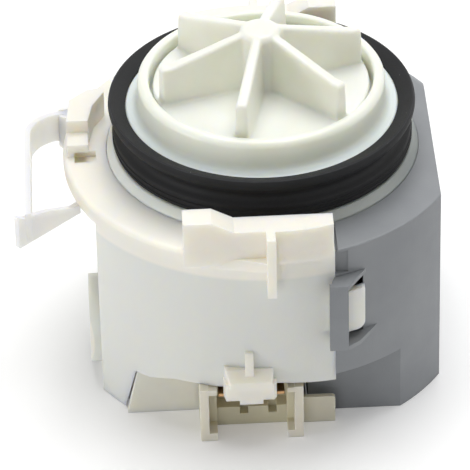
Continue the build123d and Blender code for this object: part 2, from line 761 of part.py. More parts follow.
# One impeller blade: thinner towards its top, cut to its radial profile and rounded along the top
with BuildPart() as blade:
    blade_low_z = impeller_z[1] - blade_sink
    with BuildSketch(Plane.YZ.offset(blade_x[0])):
        Polygon(
            (-blade_t[0] / 2, blade_low_z),
            (blade_t[0] / 2, blade_low_z),
            (blade_t[1] / 2, hub_top_z),
            (-blade_t[1] / 2, hub_top_z),
        )
    extrude(amount=blade_x[1] - blade_x[0])
    with BuildSketch(Plane.XZ) as blade_profile:
        tip_corner = (blade_x[1], blade_tip_z)
        hub_corner = (blade_hub_x, hub_top_z - blade_hub_drop)
        Polygon(
            (blade_x[0], blade_low_z),
            (blade_x[1], blade_low_z),
            tip_corner,
            (blade_x[1] - blade_flat, blade_tip_z),
            hub_corner,
            (blade_x[0], hub_corner[1]),
        )
        fillet(corner_near(blade_profile, tip_corner), blade_profile_round)
    extrude(amount=blade_t[0], both=True, mode=Mode.INTERSECT)
    raised = blade.edges().filter_by(lambda edge: edge.center().Z > impeller_z[1] + blade_sink)
    fillet(raised.filter_by(lambda edge: abs(edge.center().Y) > blade_t[1] / 3), blade_round)

# Impeller: disc, hub, radial blades that rise to the hub, and the drive cup under the disc
with BuildPart() as impeller:
    with BuildSketch(Plane.XZ) as impeller_half:
        Polygon(
            (0, impeller_z[1]),
            (0, hub_top_z),
            (hub_r, hub_top_z),
            (hub_r, impeller_z[1]),
            (impeller_r, impeller_z[1]),
            (impeller_r, impeller_z[0]),
            (drive_cup_r[1], impeller_z[0]),
            (drive_cup_r[1], drive_cup_z),
            (drive_cup_r[0], drive_cup_z),
            (drive_cup_r[0], impeller_z[0]),
            (0, impeller_z[0]),
        )
        fillet(corner_near(impeller_half, (hub_r, hub_top_z)), hub_round)
        fillet(corner_near(impeller_half, (impeller_r, impeller_z[1])), impeller_round)
    revolve(axis=Axis.Z)
    with PolarLocations(0, blade_count, blade_azimuth):
        add(blade.part)
    # Stop inside the cup, opposite the dog
    with BuildSketch(Plane.XY.offset(dog_z[0])):
        Circle(drive_cup_r[0] + stop_sink)
        Circle(stop_inner_r, mode=Mode.SUBTRACT)
        far = 3 * drive_cup_r[1]
        half = radians(180 - stop_half_angle)
        Polygon(
            (0, 0),
            (far * cos(half), far * sin(half)),
            (-far, far),
            (-far, -far),
            (far * cos(half), -far * sin(half)),
            mode=Mode.INTERSECT,
        )
    extrude(amount=impeller_z[0] - dog_z[0])
    with BuildSketch(Plane.XY.offset(impeller_z[0])):
        Circle(shaft_r + impeller_bore_gap)
    extrude(amount=shaft_z[1] + hub_hole_over - impeller_z[0], mode=Mode.SUBTRACT)
save(impeller, "impeller")

# Stator core: yoke at the left, two legs and a pole each side of the can
with BuildPart() as stator_core:
    with BuildSketch(Plane.XY.offset(core_z[0])):
        with Locations((sum(yoke_x) / 2, 0)):
            Rectangle(yoke_x[1] - yoke_x[0], 2 * leg_y[1])
        for side in (-1, 1):
            with Locations(((yoke_x[1] + pole_x[0]) / 2, side * sum(leg_y) / 2)):
                Rectangle(pole_x[0] - yoke_x[1] + pole_overlap, leg_y[1] - leg_y[0])
            with Locations((sum(pole_x) / 2, side * sum(pole_y) / 2)):
                RectangleRounded(pole_x[1] - pole_x[0], pole_y[1] - pole_y[0], pole_round)
        Circle(pole_bore_r, mode=Mode.SUBTRACT)
        with Locations([(x, side * y) for x, y in rivet_spots for side in (-1, 1)]):
            Circle(rivet_r, mode=Mode.SUBTRACT)
    extrude(amount=core_z[1] - core_z[0])
save(stator_core, "stator_core")

with BuildPart() as core_rivets:
    with Locations([(x, side * y, core_z[0] - rivet_head_t) for x, y in rivet_spots for side in (-1, 1)]):
        upwards = (Align.CENTER, Align.CENTER, Align.MIN)
        Cylinder(rivet_r, core_z[1] - core_z[0] + 2 * rivet_head_t, align=upwards)
        Cylinder(rivet_head_r, rivet_head_t, align=upwards)
    with Locations([(x, side * y, core_z[1]) for x, y in rivet_spots for side in (-1, 1)]):
        Cylinder(rivet_head_r, rivet_head_t, align=upwards)
save(core_rivets, "core_rivets")

# Coils: a bobbin, its winding and its tape on each leg
leg_w = leg_y[1] - leg_y[0]
core_h = core_z[1] - core_z[0]
leg_mid_y = sum(leg_y) / 2
core_mid_z = sum(core_z) / 2
for place, side in (("front", -1), ("rear", 1)):
    with BuildPart() as bobbin:
        across = Plane.YZ.offset(bobbin_x[0])
        with BuildSketch(across):
            with Locations((side * leg_mid_y, core_mid_z)):
                Rectangle(leg_w + 2 * bobbin_wall, core_h + 2 * bobbin_wall)
        extrude(amount=bobbin_x[1] - bobbin_x[0])
        for rim_x in (bobbin_x[0], bobbin_x[1] - bobbin_wall):
            with BuildSketch(Plane.YZ.offset(rim_x)):
                with Locations((side * leg_mid_y, core_mid_z)):
                    grow = 2 * (bobbin_wall + bobbin_rim)
                    RectangleRounded(leg_w + grow, core_h + grow, bobbin_round)
            extrude(amount=bobbin_wall)
        block(bobbin_x, (side * leg_y[0], side * leg_y[1]), core_z, Mode.SUBTRACT)
    save(bobbin, f"bobbin_{place}")
    winding_size = [width + 2 * (bobbin_wall + winding_build) for width in (leg_w, core_h)]
    winding_w = bobbin_x[1] - bobbin_x[0] - 2 * bobbin_wall
    with BuildPart() as winding:
        with BuildSketch(Plane.YZ.offset(bobbin_x[0] + bobbin_wall)):
            with Locations((side * leg_mid_y, core_mid_z)):
                RectangleRounded(*winding_size, winding_corner_r)
                Rectangle(leg_w + 2 * bobbin_wall, core_h + 2 * bobbin_wall, mode=Mode.SUBTRACT)
        extrude(amount=winding_w)
    save(winding, f"winding_{place}")
    tape_size = [width + 2 * tape_t for width in winding_size]
    with BuildPart() as winding_tape:
        with BuildSketch(Plane.YZ.offset(bobbin_x[0] + bobbin_wall)):
            with Locations((side * leg_mid_y, core_mid_z)):
                RectangleRounded(*tape_size, winding_corner_r + tape_t)
                RectangleRounded(*winding_size, winding_corner_r, mode=Mode.SUBTRACT)
        extrude(amount=winding_w)
    save(winding_tape, f"winding_tape_{place}")

# Thermal cut-out against the front winding
with BuildPart() as thermal_cutout:
    block(cutout_x, cutout_y, cutout_z)
    fillet(thermal_cutout.edges().filter_by(Axis.Z), cutout_round)
save(thermal_cutout, "thermal_cutout")

# Wires: the bridge between the coils, and the leads to the terminals
with BuildPart() as bridge_wire:
    with BuildLine() as bridge_path:
        FilletPolyline(*bridge_route, radius=wire_bend_r)
    with BuildSketch(Plane(origin=bridge_path.line @ 0, z_dir=bridge_path.line % 0)):
        Circle(wire_r)
    sweep()
save(bridge_wire, "bridge_wire")

with BuildPart() as lead_wires:
    for lead_route in (left_lead_route, right_lead_route):
        with BuildLine() as lead_path:
            FilletPolyline(*lead_route, radius=wire_bend_r)
        with BuildSketch(Plane(origin=lead_path.line @ 0, z_dir=lead_path.line % 0)):
            Circle(wire_r)
        sweep()
save(lead_wires, "lead_wires")
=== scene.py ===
from math import cos, pi, radians, sin

import bmesh
import bpy
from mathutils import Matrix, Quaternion, Vector


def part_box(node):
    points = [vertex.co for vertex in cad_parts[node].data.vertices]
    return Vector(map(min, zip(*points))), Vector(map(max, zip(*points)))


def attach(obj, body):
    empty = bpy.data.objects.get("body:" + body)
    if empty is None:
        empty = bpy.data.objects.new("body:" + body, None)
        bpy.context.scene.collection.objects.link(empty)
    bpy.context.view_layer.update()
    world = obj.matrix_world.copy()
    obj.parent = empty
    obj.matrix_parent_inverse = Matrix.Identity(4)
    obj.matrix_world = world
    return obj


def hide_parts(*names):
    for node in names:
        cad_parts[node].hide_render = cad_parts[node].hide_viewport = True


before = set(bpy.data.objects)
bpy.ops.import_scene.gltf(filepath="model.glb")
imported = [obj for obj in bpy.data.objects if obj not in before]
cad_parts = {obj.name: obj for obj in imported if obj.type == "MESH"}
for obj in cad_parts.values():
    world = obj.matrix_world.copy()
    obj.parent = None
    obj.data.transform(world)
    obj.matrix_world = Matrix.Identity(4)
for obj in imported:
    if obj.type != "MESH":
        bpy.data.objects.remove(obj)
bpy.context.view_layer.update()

# Camera. A long lens well away from the pump, seen from the front and above, a little from the
# left, and turned slightly about its own axis, as in the photograph.
aim = Vector((-0.0070, -0.01665, 0.0355))
azimuth = radians(-2.0)
elevation = radians(35.7)
distance = 0.8617
roll = radians(-1.44)
back = Vector((sin(azimuth) * cos(elevation), -cos(azimuth) * cos(elevation), sin(elevation)))
lens = bpy.data.cameras.new("photo_lens")
lens.lens = 306.4
lens.sensor_width = 36.0
lens.clip_start = 0.05
camera = bpy.data.objects.new("photo_camera", lens)
camera.location = aim + distance * back
camera.rotation_mode = "QUATERNION"
camera.rotation_quaternion = (-back).to_track_quat("-Z", "Y") @ Quaternion((0, 0, 1), roll)
bpy.context.scene.collection.objects.link(camera)
bpy.context.scene.camera = camera
bpy.context.scene.view_settings.view_transform = "Standard"

# Stator core and its rivets. Thin steel sheets stamped to shape, stacked and held by four
# rivets; the stack carries the coils and closes round the rotor can inside the casing.
MM = 0.001


def srgb(red, green, blue):
    """Linear colour of a screen colour given from 0 to 255."""
    parts = [part / 255 for part in (red, green, blue)]
    linear = [part / 12.92 if part <= 0.04045 else ((part + 0.055) / 1.055) ** 2.4 for part in parts]
    return (*linear, 1.0)


def node(tree, kind, inputs, **properties):
    """Adds a shader node, sets its properties, and sets or links each of its inputs."""
    made = tree.nodes.new(kind)
    for key, value in properties.items():
        setattr(made, key, value)
    for key, value in inputs.items():
        if isinstance(value, bpy.types.NodeSocket):
            tree.links.new(value, made.inputs[key])
        else:
            made.inputs[key].default_value = value
    return made


def mixed(tree, share, first, second):
    """Colour that goes from the first to the second as share goes from 0 to 1."""
    return node(tree, "ShaderNodeMix", {0: share, 6: first, 7: second}, data_type="RGBA").outputs[2]


def ranged(tree, value, low, high, to_low, to_high):
    """Value carried from one range to another, and held at its ends."""
    limits = {"From Min": low, "From Max": high, "To Min": to_low, "To Max": to_high}
    return node(tree, "ShaderNodeMapRange", {"Value": value, **limits}).outputs["Result"]


def noise(tree, place, size, detail=3.0):
    """Noise whose patches are about size millimetres across."""
    settings = {"Vector": place, "Scale": 1 / (size * MM), "Detail": detail}
    return node(tree, "ShaderNodeTexNoise", settings).outputs["Fac"]


def bumped(tree, height, depth, below=None):
    """Surface relief of a depth in millimetres, laid over another relief if one is given."""
    inputs = {"Height": height, "Strength": 1.0, "Distance": depth * MM}
    if below is not None:
        inputs["Normal"] = below
    return node(tree, "ShaderNodeBump", inputs).outputs["Normal"]


def new_finish(name):
    """A new material, its node tree, its shader and the object's own coordinates."""
    finish = bpy.data.materials.new(name)
    finish.use_nodes = True
    tree = finish.node_tree
    place = node(tree, "ShaderNodeTexCoord", {}).outputs["Object"]
    return finish, tree, tree.nodes["Principled BSDF"], place


def bands(tree, place, pitch, axis):
    """Fine parallel bands at a pitch in millimetres along an axis, from 0 to 1."""
    phase_per_unit = 20
    scale = 2 * pi / (phase_per_unit * pitch * MM)
    settings = {"Vector": place, "Scale": scale, "Distortion": 0.0}
    wave = node(tree, "ShaderNodeTexWave", settings, wave_type="BANDS", bands_direction=axis)
    return wave.outputs["Fac"]


def dress(names, finish):
    """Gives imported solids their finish."""
    for name in names:
        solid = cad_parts[name]
        solid.data.materials.clear()
        solid.data.materials.append(finish)


def worked_metal(name, bright, dull, roughness, pitch, axis, depth):
    """Metal with fine bands from stacking, drawing or turning, and darker oxide patches.

    The bands' pitch and depth are in millimetres."""
    finish, tree, shader, place = new_finish(name)
    lines = bands(tree, place, pitch, axis)
    patches = ranged(tree, noise(tree, place, size=6.0), 0.4, 0.65, 0.0, 1.0)
    scratches = noise(tree, place, size=0.4, detail=5.0)
    scuffed = ranged(tree, scratches, 0.3, 0.7, roughness - 0.08, roughness + 0.12)
    relief = bumped(tree, scratches, 0.01, below=bumped(tree, lines, depth))
    tree.links.new(mixed(tree, patches, bright, dull), shader.inputs["Base Color"])
    tree.links.new(scuffed, shader.inputs["Roughness"])
    tree.links.new(relief, shader.inputs["Normal"])
    shader.inputs["Metallic"].default_value = 1.0
    return finish


core_steel = worked_metal(
    "laminated_steel", srgb(138, 142, 148), srgb(104, 102, 98),
    roughness=0.42, pitch=0.5, axis="Z", depth=0.06,
)
rivet_steel = worked_metal(
    "rivet_steel", srgb(178, 180, 182), srgb(140, 138, 134),
    roughness=0.32, pitch=0.25, axis="Z", depth=0.01,
)
dress(["stator_core"], core_steel)
dress(["core_rivets"], rivet_steel)

# Coils. Two moulded bobbins wound with enamelled copper wire and closed with yellow tape, one
# on each leg of the core, joined by a bridge wire, with a thermal cut-out against the front one.
def maths(tree, operation, first, second, clamp=False):
    """Sum, difference or product of two values, held between 0 and 1 if it is clamped."""
    inputs = {0: first, 1: second}
    return node(tree, "ShaderNodeMath", inputs, operation=operation, use_clamp=clamp).outputs[0]


def moulded_plastic(name, colour, shade, roughness, grain, depth, milk=0.0, radius=1.2):
    """Moulded plastic: slow clouding of the resin, fine grain of the tool and polished, paler edges,
    the paleness partly wear and partly painted highlight.

    Grain and depth are in millimetres. Milk is how far light wanders in the resin, over radius."""
    finish, tree, shader, place = new_finish(name)
    edge = node(tree, "ShaderNodeAttribute", {}, attribute_name="edge_wear_and_highlight").outputs["Fac"]
    clouds = noise(tree, place, size=14.0, detail=4.0)
    specks = noise(tree, place, size=1.7, detail=2.0)
    tool_grain = noise(tree, place, grain, detail=2.0)
    body_colour = mixed(tree, ranged(tree, clouds, 0.35, 0.7, 0.0, 1.0), colour, shade)
    speckled = mixed(tree, ranged(tree, specks, 0.68, 0.78, 0.0, 0.35), body_colour, shade)
    whitening = 0.22
    paler = tuple(part + whitening * (1 - part) for part in colour[:3]) + (1.0,)
    # Paler edges: partly wear, partly painted highlight.
    worn_and_highlighted = maths(tree, "MULTIPLY", edge, ranged(tree, specks, 0.3, 0.6, 0.35, 0.9))
    sheen = ranged(tree, clouds, 0.3, 0.7, roughness - 0.05, roughness + 0.07)
    polished = ranged(tree, worn_and_highlighted, 0.0, 1.0, 0.0, 0.12)
    waviness = bumped(tree, noise(tree, place, size=9.0, detail=1.0), 0.03)
    tree.links.new(mixed(tree, worn_and_highlighted, speckled, paler), shader.inputs["Base Color"])
    tree.links.new(maths(tree, "SUBTRACT", sheen, polished), shader.inputs["Roughness"])
    tree.links.new(bumped(tree, tool_grain, depth, below=waviness), shader.inputs["Normal"])
    shader.inputs["IOR"].default_value = 1.49
    shader.inputs["Subsurface Weight"].default_value = milk
    shader.inputs["Subsurface Radius"].default_value = (1.0, 0.88, 0.6)
    shader.inputs["Subsurface Scale"].default_value = radius * MM
    return finish


def wound_copper(name):
    """Enamelled wire laid turn by turn along the leg, in slightly uneven layers."""
    finish, tree, shader, place = new_finish(name)
    wire_pitch = 0.32
    turns = bands(tree, place, wire_pitch, "X")
    slack = noise(tree, place, size=3.0)
    # Bright crest and dark groove of each turn: painted light and painted shade.
    lit = mixed(tree, turns, srgb(96, 44, 22), srgb(196, 108, 60))
    layered = mixed(tree, ranged(tree, slack, 0.4, 0.7, 0.0, 0.5), lit, srgb(150, 74, 36))
    relief = bumped(tree, slack, 0.1, below=bumped(tree, turns, 0.12))
    tree.links.new(layered, shader.inputs["Base Color"])
    tree.links.new(ranged(tree, slack, 0.3, 0.7, 0.22, 0.4), shader.inputs["Roughness"])
    tree.links.new(relief, shader.inputs["Normal"])
    shader.inputs["Metallic"].default_value = 0.85
    return finish


def coil_tape(name):
    """Polyester tape with a creased, slightly cloudy film."""
    finish, tree, shader, place = new_finish(name)
    creases = noise(tree, place, size=2.2, detail=5.0)
    cloudy = ranged(tree, creases, 0.4, 0.65, 0.0, 1.0)
    film_colour = mixed(tree, cloudy, srgb(222, 182, 52), srgb(196, 150, 40))
    tree.links.new(film_colour, shader.inputs["Base Color"])
    tree.links.new(ranged(tree, creases, 0.3, 0.7, 0.25, 0.45), shader.inputs["Roughness"])
    tree.links.new(bumped(tree, creases, 0.12), shader.inputs["Normal"])
    return finish


bobbin_nylon = moulded_plastic(
    "bobbin_nylon", srgb(214, 206, 186), srgb(198, 188, 164),
    roughness=0.5, grain=0.5, depth=0.02, milk=0.1,
)
wire_sleeve = moulded_plastic(
    "wire_sleeve", srgb(226, 224, 216), srgb(206, 203, 192), roughness=0.4, grain=0.4, depth=0.02
)
cutout_case = moulded_plastic(
    "cutout_case", srgb(40, 38, 38), srgb(58, 55, 52), roughness=0.35, grain=0.6, depth=0.02
)
dress(["bobbin_front", "bobbin_rear"], bobbin_nylon)
dress(["winding_front", "winding_rear"], wound_copper("wound_copper"))
dress(["winding_tape_front", "winding_tape_rear"], coil_tape("coil_tape"))
dress(["bridge_wire", "lead_wires"], wire_sleeve)
dress(["thermal_cutout"], cutout_case)

# Rotor can and its sealing ring. A thin moulded cup keeps the water in with the rotor and the
# windings dry; its flange is clamped under the cover, with a rubber ring in its groove.
def rubber(name, colour, dust, roughness, grain):
    """Black rubber: matt fine grain, a greyer bloom and a few specks of dust."""
    finish, tree, shader, place = new_finish(name)
    bloom = noise(tree, place, size=7.0, detail=4.0)
    pores = noise(tree, place, grain)
    dust_gap = 4.2 * MM
    scatter = {"Vector": place, "Scale": 1 / dust_gap}
    specks = node(tree, "ShaderNodeTexVoronoi", scatter).outputs["Distance"]
    bloomed = mixed(tree, ranged(tree, bloom, 0.35, 0.75, 0.0, 0.5), colour, dust)
    grained = mixed(tree, ranged(tree, pores, 0.42, 0.62, 0.0, 0.55), bloomed, dust)
    dotted = mixed(tree, ranged(tree, specks, 0.02, 0.04, 0.5, 0.0), grained, srgb(140, 140, 136))
    matt = ranged(tree, pores, 0.3, 0.7, roughness - 0.08, roughness + 0.08)
    relief = bumped(tree, pores, 0.035, below=bumped(tree, bloom, 0.05))
    tree.links.new(dotted, shader.inputs["Base Color"])
    tree.links.new(matt, shader.inputs["Roughness"])
    tree.links.new(relief, shader.inputs["Normal"])
    shader.inputs["Specular IOR Level"].default_value = 0.25
    return finish


can_plastic = moulded_plastic(
    "can_plastic", srgb(196, 196, 186), srgb(176, 176, 164),
    roughness=0.35, grain=0.6, depth=0.01, milk=0.2,
)
ring_rubber = rubber("ring_rubber", srgb(24, 24, 25), srgb(52, 52, 52), roughness=0.5, grain=0.2)
dress(["rotor_can"], can_plastic)
dress(["can_o_ring"], ring_rubber)

# Rotor. A ground steel shaft through a plastic carrier and a ring magnet, with a steel washer at
# each end; it turns in two graphite bushes that sit in soft rubber mounts.
def ferrite(name):
    """Sintered magnet: dark, dull and finely pitted."""
    finish, tree, shader, place = new_finish(name)
    pits = noise(tree, place, size=0.5, detail=5.0)
    tree.links.new(mixed(tree, pits, srgb(46, 46, 50), srgb(78, 78, 82)), shader.inputs["Base Color"])
    tree.links.new(ranged(tree, pits, 0.3, 0.7, 0.45, 0.65), shader.inputs["Roughness"])
    tree.links.new(bumped(tree, pits, 0.05), shader.inputs["Normal"])
    shader.inputs["Metallic"].default_value = 0.5
    return finish


shaft_steel = worked_metal(
    "ground_steel", srgb(196, 198, 202), srgb(170, 172, 176),
    roughness=0.2, pitch=0.08, axis="Z", depth=0.004,
)
carrier_plastic = moulded_plastic(
    "carrier_plastic", srgb(52, 54, 58), srgb(66, 68, 70), roughness=0.45, grain=0.5, depth=0.02
)
bush_graphite = moulded_plastic(
    "bush_graphite", srgb(44, 44, 46), srgb(60, 60, 62), roughness=0.38, grain=0.3, depth=0.02
)
mount_rubber = rubber("mount_rubber", srgb(30, 30, 31), srgb(60, 60, 58), roughness=0.55, grain=0.25)
dress(["rotor_shaft", "thrust_washers"], shaft_steel)
dress(["rotor_magnet"], ferrite("ferrite"))
dress(["rotor_carrier"], carrier_plastic)
dress(["front_bearing_bush", "rear_bearing_bush"], bush_graphite)
dress(["front_bearing_mount", "rear_bearing_mount"], mount_rubber)

# Drive dog. A moulded hub fixed on the shaft inside the cover's recess; its tooth strikes the
# stop in the impeller's cup, so that the motor can start with the impeller still loose.
dog_plastic = moulded_plastic(
    "dog_plastic", srgb(206, 204, 190), srgb(190, 186, 170),
    roughness=0.4, grain=0.4, depth=0.02, milk=0.1,
)
dress(["drive_dog"], dog_plastic)

# Pump cover. One moulding in natural resin with a round collar, a thin upper flange over the
# seal and a wider lower flange that the casing holds; the rim of the collar is well rounded.
weld = 0.002 * MM


def turned(name, outline, steps=180, segments=4, smooth_angle=28):
    """Ring about the pump axis from a closed outline of (radius, height, rounding) in millimetres.

    One vertex is drawn from corner to corner, each corner is rounded, and the outline is spun."""
    bpy.ops.object.select_all(action="DESELECT")
    bpy.ops.mesh.primitive_plane_add(size=MM, location=(outline[0][0] * MM, 0, outline[0][1] * MM))
    piece = bpy.context.object
    piece.name = name
    bpy.ops.object.mode_set(mode="EDIT")
    bpy.ops.mesh.select_all(action="SELECT")
    bpy.ops.mesh.merge(type="CENTER")
    for here, there in zip(outline, outline[1:] + outline[:1]):
        step = ((there[0] - here[0]) * MM, 0, (there[1] - here[1]) * MM)
        bpy.ops.mesh.extrude_vertices_move(TRANSFORM_OT_translate={"value": step})
    bpy.ops.mesh.select_all(action="SELECT")
    bpy.ops.mesh.remove_doubles(threshold=weld)
    for radius, height, rounding in outline:
        if rounding:
            corner = Vector((radius * MM, 0, height * MM))
            mesh = bmesh.from_edit_mesh(piece.data)
            for vertex in mesh.verts:
                vertex.select = (piece.matrix_world @ vertex.co - corner).length < weld
            mesh.select_flush_mode()
            bmesh.update_edit_mesh(piece.data)
            bpy.ops.mesh.bevel(offset=rounding * MM, segments=segments, affect="VERTICES")
    bpy.ops.mesh.select_all(action="SELECT")
    bpy.ops.mesh.spin(steps=steps, angle=2 * pi, center=(0, 0, 0), axis=(0, 0, 1))
    bpy.ops.mesh.select_all(action="SELECT")
    bpy.ops.mesh.remove_doubles(threshold=weld)
    bpy.ops.mesh.normals_make_consistent(inside=False)
    bpy.ops.object.mode_set(mode="OBJECT")
    bpy.ops.object.transform_apply(location=True, rotation=True, scale=True)
    bpy.ops.object.shade_smooth_by_angle(angle=radians(smooth_angle))
    return piece


def finished(piece, finish, body, slot, *stands_for):
    """Gives a modelled piece its finish and its body, and hides the solids that it stands for. The
    slot is not used.
    """
    piece.data.materials.clear()
    piece.data.materials.append(finish)
    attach(piece, body)
    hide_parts(*stands_for)


def reopened(finish):
    """Node tree, shader, present colour and object's own coordinates of a finish made before."""
    tree = finish.node_tree
    shader = tree.nodes["Principled BSDF"]
    colour = shader.inputs["Base Color"].links[0].from_socket
    place = next(each for each in tree.nodes if each.type == "TEX_COORD").outputs["Object"]
    return tree, shader, colour, place


def cover_resin(name, flange_top):
    """Natural resin, milky in the thick collar and cooler in the thin upper flange.

    The lower flange goes from pale at the left to grey at the right, as painted light and shade."""
    finish = moulded_plastic(
        name, srgb(238, 241, 232), srgb(232, 235, 223),
        roughness=0.34, grain=0.8, depth=0.012, milk=0.8, radius=2.4,
    )
    tree, shader, collar_colour, place = reopened(finish)
    parts = node(tree, "ShaderNodeSeparateXYZ", {"Vector": place}).outputs
    upper_end = flange_top + 0.9 * MM
    lower_end, lower_start = flange_top - 5 * MM, flange_top - 4 * MM
    reach = 30 * MM
    in_upper = ranged(tree, parts["Z"], flange_top, upper_end, 1.0, 0.0)
    in_lower = ranged(tree, parts["Z"], lower_end, lower_start, 1.0, 0.0)
    upper = mixed(tree, in_upper, collar_colour, srgb(222, 230, 226))
    # Pale left and grey right of the lower flange: painted light and painted shade.
    painted_light_across = ranged(tree, parts["X"], -reach, reach, 0.0, 1.0)
    lower = mixed(tree, painted_light_across, srgb(242, 245, 236), srgb(152, 158, 156))
    tree.links.new(mixed(tree, in_lower, upper, lower), shader.inputs["Base Color"])
    return finish


collar_r, collar_bore_r = 26.65, 24.15
collar_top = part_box("pump_cover")[1].z / MM
floor_top, floor_under = 60.5, 58.5
flange_r, flange_top = 29.4, 59.0
groove_r, groove_top, groove_low = 27.5, 57.2, 50.0
slope_r, slope_low = 32.5, 48.3
lower_r, lower_bore_r, lower_z = 33.8, 25.5, 47.0
recess_r, recess_floor = 10.2, 48.0
recess_wall_r, recess_under = 12.2, 46.3
socket_r, socket_bore_r, socket_low = 8.4, 6.4, 40.4
shaft_hole_r = 2.8
cover = turned(
    "cover_moulding",
    [
        (shaft_hole_r, recess_floor, 0),
        (recess_r, recess_floor, 0.6),
        (recess_r, floor_top, 0.5),
        (collar_bore_r, floor_top, 0.4),
        (collar_bore_r, collar_top, 0.6),
        (collar_r, collar_top, 1.5),
        (collar_r, flange_top, 1.4),
        (flange_r, flange_top, 0.5),
        (flange_r, groove_top, 0.2),
        (groove_r, groove_top, 0),
        (groove_r, groove_low, 0),
        (slope_r, groove_low, 0.35),
        (lower_r, slope_low, 0.2),
        (lower_r, lower_z, 0.2),
        (lower_bore_r, lower_z, 0),
        (lower_bore_r, floor_under, 0.6),
        (recess_wall_r, floor_under, 0),
        (recess_wall_r, recess_under, 0),
        (socket_r, recess_under, 0),
        (socket_r, socket_low, 0),
        (socket_bore_r, socket_low, 0),
        (socket_bore_r, recess_under, 0),
        (shaft_hole_r, recess_under, 0),
    ],
)
finished(cover, cover_resin("cover_resin", flange_top * MM), "casing", "cover_plastic", "pump_cover")

# Cover seal. One black rubber ring pressed round the cover between its flanges: a grooved body
# with fine mould lines below, and a wide lip above that bears on the rim of the sump.
def axis_place(tree, place):
    """Distance from the pump axis and height of a point."""
    parts = node(tree, "ShaderNodeSeparateXYZ", {"Vector": place}).outputs
    flat = node(tree, "ShaderNodeCombineXYZ", {"X": parts["X"], "Y": parts["Y"]}).outputs[0]
    radius = node(tree, "ShaderNodeVectorMath", {0: flat}, operation="LENGTH").outputs["Value"]
    return radius, parts["Z"]


def paint_lip_highlight(finish, from_r, from_z, colour):
    """Painted highlight: a lighter line along the edge beyond a radius and above a height, broken by
    noise.
    """
    tree, shader, body_colour, place = reopened(finish)
    radius, height = axis_place(tree, place)
    fade_r, fade_z = 0.2 * MM, 0.15 * MM
    outer = ranged(tree, radius, from_r, from_r + fade_r, 0.0, 1.0)
    upper = ranged(tree, height, from_z, from_z + fade_z, 0.0, 1.0)
    # Noise breaks up the painted highlight along the lip.
    highlight_breaks = ranged(tree, noise(tree, place, size=3.0), 0.3, 0.6, 0.4, 1.0)
    share = maths(tree, "MULTIPLY", maths(tree, "MULTIPLY", outer, upper), highlight_breaks)
    tree.links.new(mixed(tree, share, body_colour, colour), shader.inputs["Base Color"])


seal_r, mould_line_r = 32.2, 32.42
lip_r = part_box("cover_seal")[1].x / MM
seal = turned(
    "sealing_ring",
    [
        (groove_r, groove_top, 0),
        (groove_r, groove_low, 0),
        (seal_r, groove_low, 0.5),
        (seal_r, 51.0, 0),
        (mould_line_r, 51.12, 0),
        (seal_r, 51.24, 0),
        (seal_r, 52.2, 0),
        (mould_line_r, 52.32, 0),
        (seal_r, 52.44, 0),
        (seal_r, 53.4, 0.3),
        (31.1, 54.3, 0.4),
        (30.7, 55.2, 0.3),
        (31.0, 56.2, 0.4),
        (32.0, 57.4, 0),
        (32.2, 57.48, 0),
        (32.95, 58.4, 0.3),
        (lip_r, 59.4, 0.4),
        (32.9, 60.25, 0.2),
        (32.55, 60.48, 0.12),
        (32.1, 60.3, 0.1),
        (flange_r, 59.1, 0.1),
        (flange_r, groove_top, 0),
    ],
)
seal_rubber = rubber("seal_rubber", srgb(10, 10, 12), srgb(30, 31, 33), roughness=0.62, grain=0.3)
# The lighter line on the lip's outer top edge is a painted highlight.
paint_lip_highlight(seal_rubber, from_r=32.6 * MM, from_z=60.2 * MM, colour=srgb(56, 57, 60))
finished(seal, seal_rubber, "casing", "seal_rubber", "cover_seal")

# Impeller. One moulding: a disc with six straight blades that rise to a solid hub, and a cup
# below that holds the stop; every edge is softly rounded and each root has a small fillet.
def merged_copy(source, name):
    """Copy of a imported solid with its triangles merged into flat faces."""
    flat_angle = 0.6
    bpy.ops.object.select_all(action="DESELECT")
    piece = bpy.data.objects.new(name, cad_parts[source].data.copy())
    bpy.context.scene.collection.objects.link(piece)
    bpy.context.view_layer.objects.active = piece
    piece.select_set(True)
    bpy.ops.mesh.customdata_custom_splitnormals_clear()
    bpy.ops.object.mode_set(mode="EDIT")
    bpy.ops.mesh.select_all(action="SELECT")
    bpy.ops.mesh.remove_doubles(threshold=weld)
    bpy.ops.mesh.dissolve_limited(angle_limit=radians(flat_angle))
    bpy.ops.object.mode_set(mode="OBJECT")
    return piece


def softened_copy(source, name, cell, passes):
    """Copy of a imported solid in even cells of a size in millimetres, smoothed as a moulding is."""
    piece = merged_copy(source, name)
    cells = piece.modifiers.new("even_cells", "REMESH")
    cells.mode = "VOXEL"
    cells.voxel_size = cell * MM
    bpy.ops.object.modifier_apply(modifier="even_cells")
    smooth = piece.modifiers.new("soft_edges", "SMOOTH")
    smooth.factor = 0.5
    smooth.iterations = passes
    bpy.ops.object.modifier_apply(modifier="soft_edges")
    bpy.ops.object.shade_smooth()
    return piece


impeller_resin = moulded_plastic(
    "impeller_resin", srgb(239, 240, 233), srgb(233, 234, 224),
    roughness=0.32, grain=0.8, depth=0.012, milk=0.85, radius=2.6,
)
wheel = softened_copy("impeller", "impeller_wheel", cell=0.33, passes=5)
finished(wheel, impeller_resin, "impeller", "impeller_plastic", "impeller")

